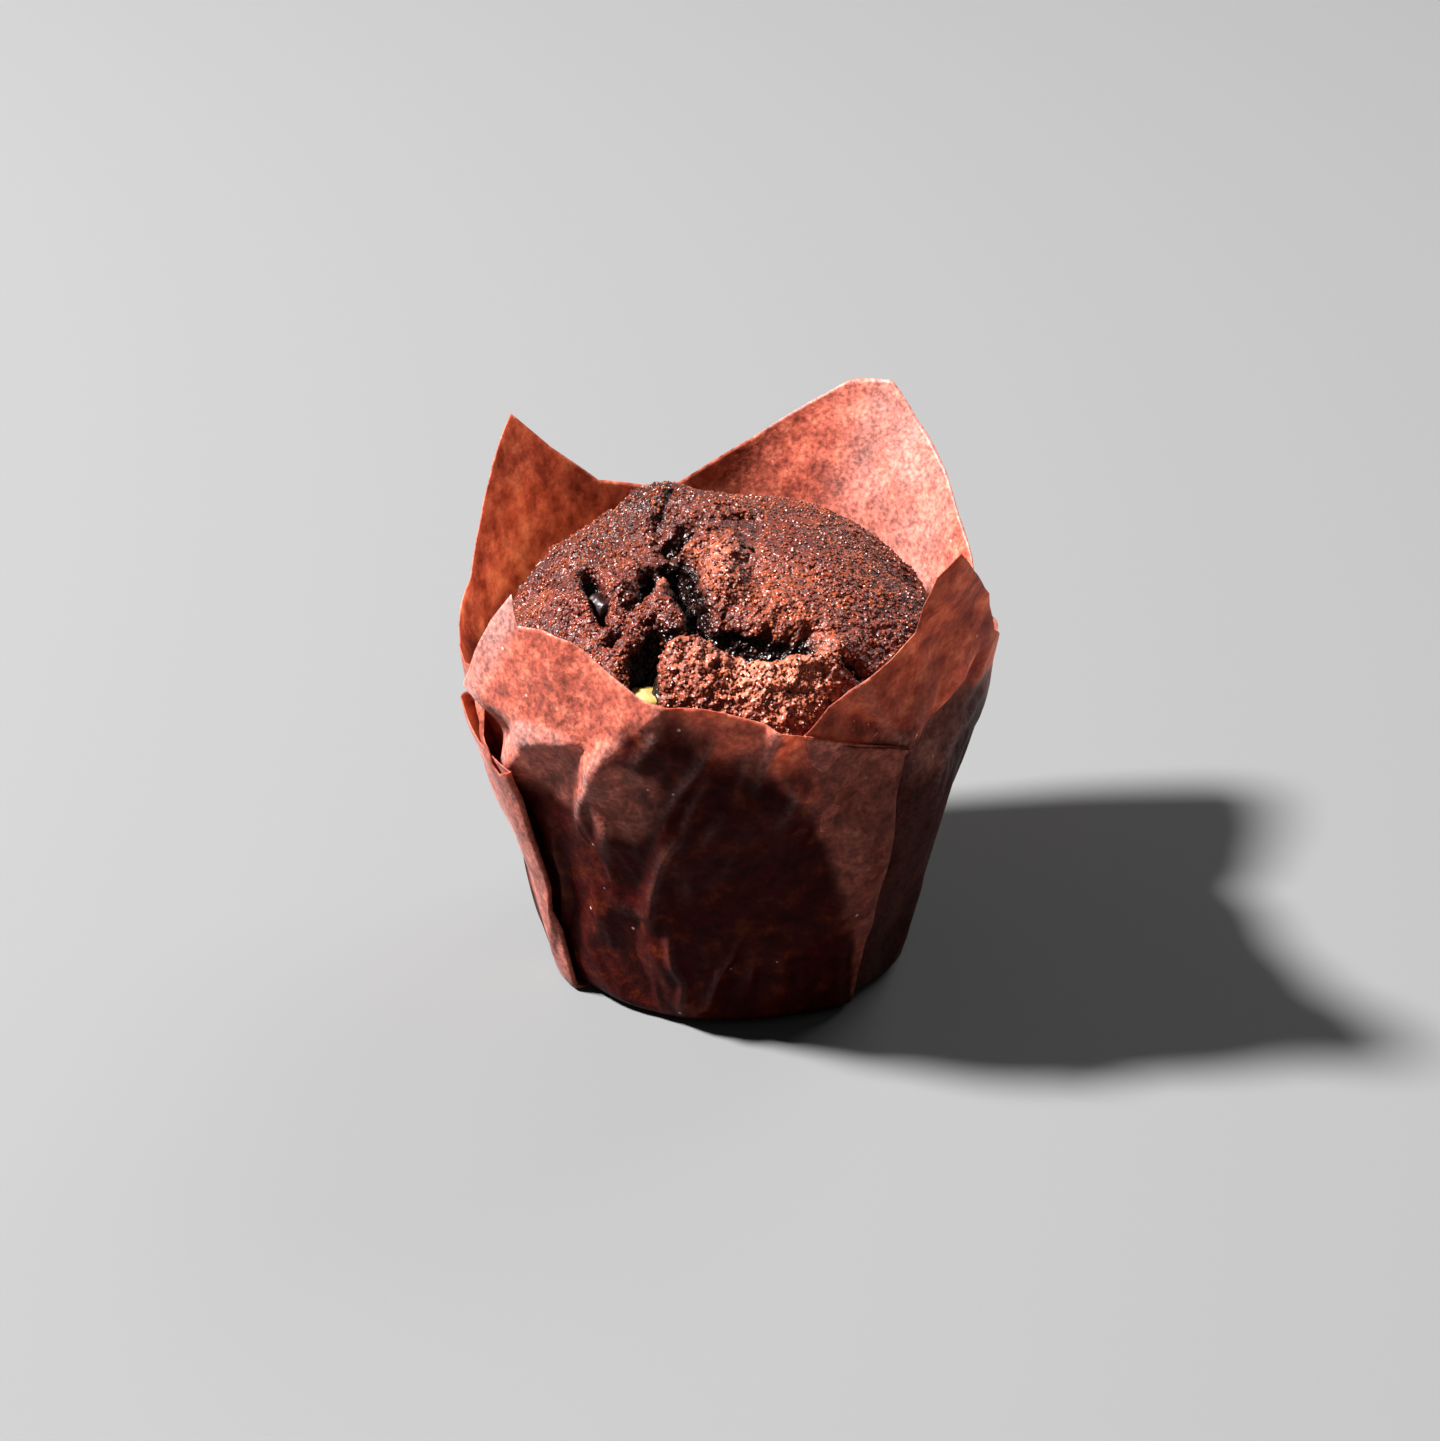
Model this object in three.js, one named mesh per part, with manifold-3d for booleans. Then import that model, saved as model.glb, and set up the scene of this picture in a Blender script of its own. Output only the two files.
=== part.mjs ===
// A chocolate muffin in a tulip wrap: one baked crumb with a domed, cracked crown, the pieces of
// chocolate that lie open in its cracks, and the square sheet of greaseproof paper folded round it.
// Millimetres, +Z up. The origin is the centre of the flat base, on the surface it stands on, and
// the front of the muffin, with the widest crack, faces -Y. Angles run anticlockwise from +X.

import * as THREE from 'three';
import { mergeVertices } from 'three/addons/utils/BufferGeometryUtils.js';
import Module from 'manifold-3d';

const wasm = await Module();
wasm.setup();

// Driving dimensions.
const BASE_RADIUS = 25;          // the wrap is pressed over a 50 mm plunger
const WALL_LEAN = 13.2;          // degrees that the wall leans outwards
const PAPER_THICKNESS = 0.4;     // paper with its crumples, flattened to one thickness
const LAYER_STEP = 0.9;          // from one layer of a pleat to the next, at the edge
const BASE_LAYER_STEP = 0.55;    // the same at the base, where the pleats are pressed flat
const CLEARANCE = 0.3;           // between pieces that touch
const BASE_PLEAT = 5;            // degrees that a pleat still spans at the base
const CROWN_EDGE_HEIGHT = 45;    // where the dome springs from the wall
const CROWN_RADIUS = 33;
const CROWN_RISE = 16.5;

// Sampling.
const WALL_ROWS = 6;
const BACK_RUN_COLUMNS = 4;
const COLUMN_ANGLE = 6;          // degrees between columns of a petal
const CRUMB_SEGMENTS = 84;
const CRUMB_WALL_ROWS = 5;
const CROWN_ROWS = 15;

const radians = THREE.MathUtils.degToRad;
const lerp = THREE.MathUtils.lerp;
const wallSlope = Math.tan(radians(WALL_LEAN));

function wallRadius(height) {
  return BASE_RADIUS + height * wallSlope;
}

// ---- Solids ----

function toSolid(geometry) {
  const bare = geometry.clone();
  bare.deleteAttribute('normal');
  bare.deleteAttribute('uv');
  const merged = mergeVertices(bare, 1e-4);
  return new wasm.Manifold(new wasm.Mesh({
    numProp: 3,
    vertProperties: new Float32Array(merged.attributes.position.array),
    triVerts: new Uint32Array(merged.index.array),
  }));
}

function toGeometry(solid) {
  const mesh = solid.getMesh();
  const geometry = new THREE.BufferGeometry();
  const positions = new Float32Array(mesh.vertProperties);
  geometry.setAttribute('position', new THREE.BufferAttribute(positions, 3));
  geometry.setIndex(new THREE.BufferAttribute(new Uint32Array(mesh.triVerts), 1));
  geometry.computeVertexNormals();
  return geometry;
}

function fromPoints(positions, indices) {
  const geometry = new THREE.BufferGeometry();
  geometry.setAttribute('position', new THREE.Float32BufferAttribute(positions, 3));
  geometry.setIndex(indices);
  geometry.computeVertexNormals();
  return geometry;
}

function makeNode(name, geometry, color, roughness) {
  const material = new THREE.MeshStandardMaterial({ color, roughness, metalness: 0 });
  const mesh = new THREE.Mesh(geometry, material);
  mesh.name = name;
  return mesh;
}

// ---- The tulip wrap ----
// The sheet stands up round the base as four petals, one to each corner of the square. Each petal
// starts inside its neighbour and ends outside the next one. Between them the spare paper runs back
// under the outer end, so a pleat is three layers thick. A petal's edge is given by its corners,
// [angle in degrees, height], from its inner end to its outer one.

const petals = [
  [[196, 40], [212, 50], [223, 63.5], [225.5, 59.5], [238, 60], [253, 54.3], [265, 53.5],
    [284, 48.8], [309, 43]],
  [[285, 49], [295, 55.7], [305, 62], [312, 71.6], [318, 67.4], [328, 61.2], [334, 54], [352, 47],
    [375, 44], [394, 43]],
  [[375, 44], [393, 53], [412, 63], [419, 67.4], [426, 66.6], [445, 57], [459, 51.8], [485, 44]],
  [[464, 50.5], [479, 53], [489, 59], [498, 65.3], [506, 60], [522, 48], [536, 43.5], [560, 40],
    [577, 38]],
];

// Samples a petal's edge at its corners and at even steps between them.
function petalColumns(corners) {
  const columns = [];
  const [start] = corners[0];
  const [end] = corners[corners.length - 1];
  for (let i = 1; i < corners.length; i++) {
    const [angleA, heightA] = corners[i - 1];
    const [angleB, heightB] = corners[i];
    const steps = Math.ceil((angleB - angleA) / COLUMN_ANGLE);
    for (let k = 0; k < steps; k++) {
      const angle = lerp(angleA, angleB, k / steps);
      const top = lerp(heightA, heightB, k / steps);
      columns.push({ angle, top, along: (angle - start) / (end - start) });
    }
  }
  columns.push({ angle: end, top: corners[corners.length - 1][1], along: 1 });
  return columns;
}

// One column of the wall: where it stands at the base and at the edge, how far it lies from the
// middle layer, and which way the paper's right-hand face looks, outwards or round a fold. A
// petal's outer fold falls straight down the wall, and its pleat narrows to BASE_PLEAT below it.
function wallColumns() {
  const columns = [];
  const outerAngle = (i) => petals[i][petals[i].length - 1][0];
  petals.forEach((corners, i) => {
    const isFirst = i === 0;
    const isLast = i === petals.length - 1;
    const previousEnd = isFirst ? outerAngle(petals.length - 1) - 360 : outerAngle(i - 1);
    const baseStart = previousEnd - BASE_PLEAT;
    const baseEnd = outerAngle(i);
    const run = petalColumns(corners);
    for (const { angle, top, along } of run) {
      const base = lerp(baseStart, baseEnd, along);
      columns.push({ base, angle, top, layer: 2 * along - 1, outward: 1, round: 0 });
    }

    const last = run[run.length - 1];
    const [nextStart, nextTop] = petals[(i + 1) % petals.length][0];
    const nextAngle = nextStart + (isLast ? 360 : 0);
    const nextBase = baseEnd - BASE_PLEAT;
    const fold = { outward: 0, round: 1 };
    columns.push({ base: baseEnd, angle: last.angle, top: last.top, layer: 0.5, ...fold });
    for (let k = 0; k <= BACK_RUN_COLUMNS; k++) {
      const part = k / BACK_RUN_COLUMNS;
      columns.push({
        base: lerp(baseEnd, nextBase, part),
        angle: lerp(last.angle, nextAngle, part),
        top: lerp(last.top, nextTop, part),
        layer: 0,
        outward: -1,
        round: 0,
      });
    }
    columns.push({ base: nextBase, angle: nextAngle, top: nextTop, layer: -0.5, ...fold });
  });
  return columns;
}

function wallPoint(column, row, side) {
  const part = row / WALL_ROWS;
  const height = lerp(PAPER_THICKNESS / 2, column.top, part);
  const middle = wallRadius(height) + column.layer * lerp(BASE_LAYER_STEP, LAYER_STEP, part);
  const half = side * PAPER_THICKNESS / 2;
  const radius = middle + column.outward * half;
  const angle = radians(lerp(column.base, column.angle, part)) + column.round * half / middle;
  return [radius * Math.cos(angle), radius * Math.sin(angle), height];
}

function makeWrap() {
  const columns = wallColumns();
  const rows = WALL_ROWS + 1;
  const positions = [];
  for (const column of columns) {
    for (const side of [1, -1]) {
      for (let row = 0; row < rows; row++) positions.push(...wallPoint(column, row, side));
    }
  }
  const index = (column, side, row) => ((column % columns.length) * 2 + side) * rows + row;
  const faces = [];
  const addQuad = (a, b, c, d) => faces.push(a, b, c, a, c, d);
  for (let c = 0; c < columns.length; c++) {
    for (let row = 0; row < WALL_ROWS; row++) {
      addQuad(index(c, 0, row), index(c + 1, 0, row), index(c + 1, 0, row + 1), index(c, 0, row + 1));
      addQuad(index(c, 1, row), index(c, 1, row + 1), index(c + 1, 1, row + 1), index(c + 1, 1, row));
    }
    const top = WALL_ROWS;
    addQuad(index(c, 0, top), index(c + 1, 0, top), index(c + 1, 1, top), index(c, 1, top));
    addQuad(index(c, 0, 0), index(c, 1, 0), index(c + 1, 1, 0), index(c + 1, 0, 0));
  }
  const wall = toSolid(fromPoints(positions, faces));

  const discRadius = BASE_RADIUS + BASE_LAYER_STEP + PAPER_THICKNESS;
  const disc = new THREE.CylinderGeometry(discRadius, discRadius, PAPER_THICKNESS, 96);
  disc.rotateX(Math.PI / 2);
  disc.translate(0, 0, PAPER_THICKNESS / 2);
  return wall.add(toSolid(disc));
}

// ---- The chocolate pieces ----
// Broken blocks with rounded edges. Each lies in a pocket that is open to a crack.

const chunks = [
  { name: 'white_chocolate_chunk', size: [7, 5, 5], at: [-10.4, -26.2, 46.6], turn: [0.2, 0.35, 0.5],
    color: '#e6d9a0', roughness: 0.45 },
  { name: 'dark_chocolate_chunk_left', size: [5.5, 4.5, 4.5], at: [-15.2, -12.6, 56.6], turn: [0.3, 0.5, 0.9],
    color: '#1a0d0c', roughness: 0.2 },
  { name: 'dark_chocolate_chunk_front', size: [8, 5.5, 5], at: [5.6, -24.4, 50.6], turn: [0.45, 0.1, 0.15],
    color: '#1a0d0c', roughness: 0.2 },
];
const CHUNK_SQUARENESS = 0.55;   // 1 is an ellipsoid, 0 a sharp box

function squared(value) {
  return Math.sign(value) * Math.abs(value) ** CHUNK_SQUARENESS;
}

function chunkGeometry({ size, at, turn }, grow) {
  const geometry = new THREE.IcosahedronGeometry(1, 3);
  const position = geometry.attributes.position;
  const point = new THREE.Vector3();
  for (let i = 0; i < position.count; i++) {
    point.fromBufferAttribute(position, i);
    position.setXYZ(
      i,
      squared(point.x) * (size[0] / 2 + grow),
      squared(point.y) * (size[1] / 2 + grow),
      squared(point.z) * (size[2] / 2 + grow),
    );
  }
  geometry.applyMatrix4(new THREE.Matrix4().makeRotationFromEuler(new THREE.Euler(...turn)));
  geometry.translate(...at);
  return geometry;
}

// ---- The crumb ----
// The batter filled the wrap and rose over it as a dome. As the crown set, it tore along the cracks
// and left lumps between them. Lumps are [x, y, radius, rise], cracks are a path in plan with a
// half width and a depth.

const lumps = [
  [13, -8, 17, 2.4],
  [1, -6, 7, 2.2],
  [-4, 3, 6, 1.6],
  [-20, -9, 9, 2.4],
  [-14, 6, 10, 1.4],
  [-11, -18, 5, 1.6],
  [-1, -28, 9, 3.4],
  [10, -28, 6, 1.6],
  [8, 16, 15, 1.0],
];

const cracks = [
  { path: [[-10.3, -31], [-10.3, -24], [-7, -21.8], [-4.8, -21]], width: 1.5, depth: 7 },
  { path: [[-8, -12], [-5.2, -17], [-2.5, -22], [0.9, -23.6]], width: 1.9, depth: 4.5 },
  { path: [[0.9, -23.6], [6, -25.4], [12, -24.6], [17, -24.2], [21, -24]], width: 2, depth: 4.5 },
  { path: [[-20.1, 1.1], [-15.9, -3.4], [-11.3, -7], [-8, -12]], width: 1.6, depth: 2.2 },
  { path: [[-5, 9], [-8.7, 3.8], [-9.4, -5], [-8, -12]], width: 1.4, depth: 2 },
  { path: [[2.3, 8], [3.4, -2], [3.6, -10], [1.6, -15]], width: 1.4, depth: 1.4 },
  { path: [[-16.4, -9], [-15.7, -12.4], [-13.6, -15.7]], width: 1.2, depth: 2.2 },
];

function distanceToPath(x, y, path) {
  let nearest = Infinity;
  for (let i = 1; i < path.length; i++) {
    const [ax, ay] = path[i - 1];
    const [bx, by] = path[i];
    const lengthSquared = (bx - ax) ** 2 + (by - ay) ** 2;
    const along = ((x - ax) * (bx - ax) + (y - ay) * (by - ay)) / lengthSquared;
    const part = THREE.MathUtils.clamp(along, 0, 1);
    nearest = Math.min(nearest, Math.hypot(x - lerp(ax, bx, part), y - lerp(ay, by, part)));
  }
  return nearest;
}

function crownLift(x, y) {
  let lift = 0;
  for (const [cx, cy, radius, rise] of lumps) {
    lift += rise * Math.exp(-((x - cx) ** 2 + (y - cy) ** 2) / radius ** 2);
  }
  for (const { path, width, depth } of cracks) {
    lift -= depth * Math.exp(-((distanceToPath(x, y, path) / width) ** 2));
  }
  return lift;
}

// Rings of the crumb from the base to the summit, as [radius, height].
function crumbRings() {
  const inset = LAYER_STEP + PAPER_THICKNESS / 2 + CLEARANCE + 0.1;
  const floor = PAPER_THICKNESS + CLEARANCE;
  const rings = [[wallRadius(0) - inset - 1.2, floor]];
  for (let row = 0; row <= CRUMB_WALL_ROWS; row++) {
    const height = lerp(floor + 1.2, CROWN_EDGE_HEIGHT - 3, row / CRUMB_WALL_ROWS);
    rings.push([wallRadius(height) - inset, height]);
  }
  for (let row = 0; row < CROWN_ROWS; row++) {
    const angle = Math.PI / 2 * row / CROWN_ROWS;
    rings.push([CROWN_RADIUS * Math.cos(angle), CROWN_EDGE_HEIGHT + CROWN_RISE * Math.sin(angle)]);
  }
  return rings;
}

function makeCrumb() {
  const rings = crumbRings();
  const positions = [];
  for (const [radius, height] of rings) {
    for (let k = 0; k < CRUMB_SEGMENTS; k++) {
      const angle = 2 * Math.PI * k / CRUMB_SEGMENTS;
      const x = radius * Math.cos(angle);
      const y = radius * Math.sin(angle);
      const onCrown = THREE.MathUtils.smoothstep(height, CROWN_EDGE_HEIGHT - 2, CROWN_EDGE_HEIGHT + 5);
      positions.push(x, y, height + onCrown * crownLift(x, y));
    }
  }
  const bottom = positions.length / 3;
  positions.push(0, 0, rings[0][1]);
  const summit = bottom + 1;
  positions.push(0, 0, CROWN_EDGE_HEIGHT + CROWN_RISE + crownLift(0, 0));

  const faces = [];
  for (let k = 0; k < CRUMB_SEGMENTS; k++) {
    const next = (k + 1) % CRUMB_SEGMENTS;
    faces.push(bottom, next, k);
    for (let ring = 1; ring < rings.length; ring++) {
      const low = (ring - 1) * CRUMB_SEGMENTS;
      const high = ring * CRUMB_SEGMENTS;
      faces.push(low + k, low + next, high + next, low + k, high + next, high + k);
    }
    const lastRing = (rings.length - 1) * CRUMB_SEGMENTS;
    faces.push(lastRing + k, lastRing + next, summit);
  }
  let crumb = toSolid(fromPoints(positions, faces));
  for (const chunk of chunks) {
    crumb = crumb.subtract(toSolid(chunkGeometry(chunk, CLEARANCE)));
  }
  return crumb;
}

// ---- The muffin ----

const muffin = new THREE.Group();
muffin.add(makeNode('muffin_crumb', toGeometry(makeCrumb()), '#4a2018', 0.6));
muffin.add(makeNode('tulip_wrap', toGeometry(makeWrap()), '#5a2a22', 0.5));
for (const chunk of chunks) {
  const geometry = toGeometry(toSolid(chunkGeometry(chunk, 0)));
  muffin.add(makeNode(chunk.name, geometry, chunk.color, chunk.roughness));
}

export default muffin;
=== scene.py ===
# A chocolate muffin in a brown tulip wrap. The script follows it from the outside in, as it is
# packed: the folded paper, the crumb baked inside it, the pieces of chocolate that lie open in the
# crown, and the loose crumbs on top. Shapes are worked out in millimetres and angles in degrees
# anticlockwise from +X, seen from above; a mesh is scaled to metres once, when it is made.
import math
import bmesh
import bpy
import numpy as np
from mathutils import Euler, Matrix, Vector, noise


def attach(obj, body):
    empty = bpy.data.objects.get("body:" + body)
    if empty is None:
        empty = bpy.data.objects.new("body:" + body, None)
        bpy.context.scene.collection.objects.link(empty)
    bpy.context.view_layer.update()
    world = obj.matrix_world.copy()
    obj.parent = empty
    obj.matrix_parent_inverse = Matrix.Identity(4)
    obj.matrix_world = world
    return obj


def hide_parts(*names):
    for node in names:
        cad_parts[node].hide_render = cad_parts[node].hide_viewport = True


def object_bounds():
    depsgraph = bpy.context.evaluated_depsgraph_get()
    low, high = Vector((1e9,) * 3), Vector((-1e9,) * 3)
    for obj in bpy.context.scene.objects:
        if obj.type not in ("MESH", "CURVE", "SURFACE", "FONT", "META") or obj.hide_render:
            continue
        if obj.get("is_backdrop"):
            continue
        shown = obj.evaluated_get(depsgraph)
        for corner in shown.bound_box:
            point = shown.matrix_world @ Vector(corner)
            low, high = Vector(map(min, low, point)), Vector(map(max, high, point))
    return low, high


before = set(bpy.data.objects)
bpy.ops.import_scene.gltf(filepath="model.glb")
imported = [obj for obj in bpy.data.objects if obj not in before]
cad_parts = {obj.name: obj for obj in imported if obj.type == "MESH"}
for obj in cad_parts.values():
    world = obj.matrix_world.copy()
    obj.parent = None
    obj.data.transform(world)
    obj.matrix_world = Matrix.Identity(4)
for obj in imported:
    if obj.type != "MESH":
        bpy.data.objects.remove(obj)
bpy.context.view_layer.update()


# ---- The view ----
# A camera a little under half a metre away, looking down at the front of the muffin.
VIEW_ELEVATION = 28.0
VIEW_DISTANCE = 0.450
VIEW_AIM = Vector((-0.00107, -0.00099, 0.03314))
camera_data = bpy.data.cameras.new("view")
camera_data.sensor_width = 36.0
camera_data.lens = 83.9
camera = bpy.data.objects.new("view", camera_data)
bpy.context.collection.objects.link(camera)
tilt = math.radians(VIEW_ELEVATION)
camera.location = VIEW_AIM + VIEW_DISTANCE * Vector((0, -math.cos(tilt), math.sin(tilt)))
camera.rotation_euler = (math.pi / 2 - tilt, 0, 0)
bpy.context.scene.camera = camera


# ---- The tulip wrap ----
# One square of greaseproof paper, pressed over a round plunger into a mould, so that it stands up
# round the base as four petals with a pleat of three layers between each two. A petal starts
# inside its neighbour and ends outside the next one. It is 0.15 mm thick here, crumples included.
MM = 0.001
PAPER_THICKNESS = 0.15
BASE_RADIUS = 25.0
BASE_CORNER = 1.6
WALL_SLOPE = math.tan(math.radians(13.2))
BASE_PLEAT = 5.0
WALL_ROWS = 96
FLOOR_ROWS = 7
FOLD_COLUMNS = 5
# From this height up, a pleat's layers lie apart as they do at the cut edge.
FULL_LEAN_HEIGHT = 50
# The rounded corner draws in by this share of a full round, and the floor closes to a pinhole.
CORNER_SHARE = 0.8
PINHOLE = 0.02
# The paper's height over the table, and how much lower each millimetre of pleat lies under it.
SHEET_LIFT = 0.45
LAYER_STEP = 0.3
# Stands in for a petal's number where the paper is hidden inside a pleat.
HIDDEN = 9

# A petal's cut edge: corners as (angle, height), from its inner end to its outer one.
petal_edges = {
    "front": [(196, 41), (203, 45), (207, 48.5), (211, 53), (215, 57.5), (221.5, 62.5),
              (223, 58.5), (229, 59), (236, 58.5), (244.5, 56), (253, 54), (259, 53.5),
              (265, 53.5), (276, 51.5), (284, 49), (295, 46), (309, 43)],
    "right": [(285, 49), (289.5, 52.5), (295, 55.5), (301, 58), (306, 61), (306, 65),
              (307.5, 69), (312, 71.5), (317.5, 67.5), (328, 61), (334, 54), (352, 47), (375, 44),
              (394, 43)],
    "back": [(375, 44), (384, 49.5), (393, 53), (401, 57.5), (412, 62), (418.5, 66), (426, 65.5),
             (435, 61.5), (445, 57), (459, 52), (485, 44)],
    "left": [(462, 50.5), (479, 53), (489, 59), (498, 65.5), (506, 60), (513, 54), (522, 48),
             (536, 43.5), (550, 44), (559, 45.5), (565, 45.5), (568, 43.5), (569.5, 39.5),
             (572.5, 38.5), (573.5, 36.5), (575.5, 35.5), (578, 36.5)],
}
# Degrees from one column of the mesh to the next: finer where the paper is handled most.
column_angles = {"front": 0.9, "right": 1.0, "back": 1.5, "left": 1.5}
# Up to which height butter has soaked each petal, as (angle, height). The line also paints shade:
# it rises into the dark band across the right petal and right of the front facet. Each petal's
# outer end has paper under it, not crumb, and stays dry.
soak_and_shade_lines = {
    "front": [(196, 30), (210, 34), (225, 36), (241, 36), (247, 38), (252, 43), (258, 50), (268, 48),
              (276, 45), (286, 38), (292, 29), (301, 18), (307, 8), (309, 0)],
    "right": [(285, 44), (316, 40), (332, 45), (365, 38), (380, 30), (394, 0)],
    "back": [(375, 40), (440, 39), (470, 30), (485, 0)],
    "left": [(462, 40), (535, 38), (550, 20), (556, 0), (578, 0)],
}
# How far a pleat's outer, middle and inner layers lie from the wall, at the base and at the edge.
pleat_layers = {
    "front": ((0.9, 0.25, -0.35), (0.55, 0.15, -0.35)),
    "right": ((0.5, 0.1, -0.3), (0.8, 0.2, -0.4)),
    "back": ((0.5, 0.1, -0.3), (0.8, 0.2, -0.4)),
    "left": ((1.3, 0.7, -0.4), (2.7, 1.9, -1.2)),
}


def mix(a, b, part):
    return a + (b - a) * part


def smooth_step(value, low, high):
    part = np.clip((value - low) / (high - low), 0.0, 1.0)
    return part * part * (3 - 2 * part)


def field(points, scale, seed=0.0, octaves=1):
    """Gradient noise at each point, with features about one scale across."""
    shift = Vector((seed * 17.3, seed * 9.1, seed * 5.7))
    values = np.zeros(len(points))
    for octave in range(octaves):
        size = scale / 2 ** octave
        part = [noise.noise(Vector(p) / size + shift) for p in points]
        values += np.array(part) / 2 ** octave
    return values


def make_object(name, points, faces):
    mesh = bpy.data.meshes.new(name)
    mesh.from_pydata((np.asarray(points) * MM).tolist(), [], faces)
    mesh.validate()
    made = bpy.data.objects.new(name, mesh)
    bpy.context.collection.objects.link(made)
    return made


def petal_columns():
    """The paper's columns in one closed run round the wall, as (petal, height of the soaking and
    painted shade, angle at the base, angle at the edge, height of the edge, offset at base and edge,
    turn, fold width)."""
    names = list(petal_edges)
    columns = []
    for i, name in enumerate(names):
        edge = petal_edges[name]
        following = petal_edges[names[(i + 1) % len(names)]]
        lap = 360 if i == len(names) - 1 else 0
        start, end = edge[0][0], edge[-1][0]
        base_start = petal_edges[names[i - 1]][-1][0] - (360 if i == 0 else 0) - BASE_PLEAT
        inner = [layer[2] for layer in pleat_layers[names[i - 1]]]
        outer = [layer[0] for layer in pleat_layers[name]]
        run = []
        for (angle_a, top_a), (angle_b, top_b) in zip(edge, edge[1:]):
            steps = max(1, round(abs(angle_b - angle_a) / column_angles[name]))
            run += [(mix(angle_a, angle_b, k / steps), mix(top_a, top_b, k / steps))
                    for k in range(steps)]
        for angle, top in run + [edge[-1]]:
            to_inner = 1 - smooth_step(angle - start, 14, 34)
            to_outer = smooth_step(angle - end, -26, -4)
            offset = [inner[e] * to_inner + outer[e] * to_outer for e in (0, 1)]
            soak_and_shade_to = np.interp(angle, *zip(*soak_and_shade_lines[name]))
            base = mix(base_start, end, np.clip((angle - start) / (end - start), 0, 1))
            columns.append((i, soak_and_shade_to, base, angle, top, offset, 0.0, 1.0))
        # The fold at the petal's end, the layer that runs back under it, and the fold into the
        # next petal.
        layers = pleat_layers[name]
        next_angle, next_top = following[0][0] + lap, following[0][1]
        columns += fold_columns(i, layers, (0, 1), end, end, edge[-1][1], 1)
        steps = max(4, round((end - next_angle) / column_angles[name] / 2))
        for k in range(steps + 1):
            part = k / steps
            columns.append((HIDDEN, 0.0, end - BASE_PLEAT * part, mix(end, next_angle, part),
                            mix(edge[-1][1], next_top, part), [layers[0][1], layers[1][1]], 0.0, 1.0))
        columns += fold_columns(HIDDEN, layers, (1, 2), end - BASE_PLEAT, next_angle, next_top, -1)
    return columns


def fold_columns(petal, layers, pair, base, angle, top, turn):
    """Half a turn of paper, from one layer of a pleat to the next."""
    made = []
    for k in range(1, FOLD_COLUMNS):
        around = math.pi * k / FOLD_COLUMNS
        share = (1 - math.cos(around)) / 2
        offset = [mix(layers[e][pair[0]], layers[e][pair[1]], share) for e in (0, 1)]
        width = [abs(layers[e][pair[0]] - layers[e][pair[1]]) / 2 for e in (0, 1)]
        made.append((petal, 0.0, base, angle, top, offset, math.sin(around) * turn, width))
    return made


columns = petal_columns()
rows = FLOOR_ROWS + WALL_ROWS + 1
sheet_points = np.zeros((len(columns), rows, 3))
sheet_angle = np.zeros((len(columns), rows))
sheet_petal = np.zeros((len(columns), rows))
sheet_soak_and_shade = np.zeros((len(columns), rows))
for c, (petal, soak_and_shade_to, base, angle, top, offset, bulge, width) in enumerate(columns):
    sheet_petal[c] = petal
    sheet_soak_and_shade[c] = soak_and_shade_to
    for r in range(rows):
        wall_part = max(0, r - FLOOR_ROWS) / WALL_ROWS
        height = top * wall_part
        lean = min(height / FULL_LEAN_HEIGHT, 1)
        layer = mix(offset[0], offset[1], lean)
        radius = BASE_RADIUS + height * WALL_SLOPE + layer
        turn = math.degrees(bulge * mix(width[0], width[1], lean) / radius) if bulge else 0
        # Round the corner onto the floor: the lowest rows draw in towards the middle.
        if height < BASE_CORNER:
            radius -= BASE_CORNER * (1 - math.sqrt(1 - (1 - height / BASE_CORNER) ** 2)) * CORNER_SHARE
        if r < FLOOR_ROWS:
            radius *= (r + PINHOLE) / FLOOR_ROWS
            height = 0
            layer *= r / FLOOR_ROWS
        theta = mix(base, angle, wall_part) + turn
        height += SHEET_LIFT - (LAYER_STEP * layer if height < 1 else 0)
        sheet_angle[c, r] = theta
        sheet_points[c, r] = (
            radius * math.cos(math.radians(theta)), radius * math.sin(math.radians(theta)), height)

flat = sheet_points.reshape(-1, 3)
theta = sheet_angle.reshape(-1)
height = flat[:, 2]
petal_of = sheet_petal.reshape(-1)
front, right, back, left = (petal_of == number for number in range(4))

# The front petal's upper left is one stiff flat facet in two planes. It stands upright over a
# crease, where the rest of the wall leans out, and its free corner stands proud of the pleat.
facet_line = np.interp(theta, (196, 214, 222.5, 230, 239, 244, 249, 257, 262),
                       (40, 41, 45.5, 46, 46, 48, 49.5, 52.5, 60))
facet_planes = ((212, 233), (233, 254))
FACET_RADIUS = 36.5
CORNER_PROUD = 4.2
on_facet = front * smooth_step(height - facet_line, -1.5, 1.0) * smooth_step(theta, 257, 254)
push = -on_facet * np.clip(height - facet_line, 0, None) * (WALL_SLOPE + 0.03)
for first, last in facet_planes:
    middle, half = (first + last) / 2, math.radians(last - first) / 2
    off_middle = np.clip(np.abs(np.radians(theta - middle)), 0, half)
    push -= on_facet * FACET_RADIUS * (1 - math.cos(half) / np.cos(off_middle))
push += CORNER_PROUD * front * smooth_step(theta, 234, 208) * smooth_step(height, 40, 46.5)
# Under the crease the paper slopes out as a flat ledge, narrower towards the right, and falls back
# to the wall below it.
LEDGE_SLOPE = 0.5
LEDGE_FALL = 7
under = facet_line - height
ledge = np.interp(theta, (211, 239), (5.0, 0.7))
push += (front * LEDGE_SLOPE * ledge * np.where(under < ledge, np.clip(under, 0, None) / ledge,
                                                np.clip(1 - (under - ledge) / LEDGE_FALL, 0, 1))
         * smooth_step(theta, 209, 213) * smooth_step(theta, 242, 236))
on_ledge = (front * smooth_step(under, -0.6, 0.2) * smooth_step(under, ledge + 1.2, ledge)
            * smooth_step(theta, 242, 236))
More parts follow.
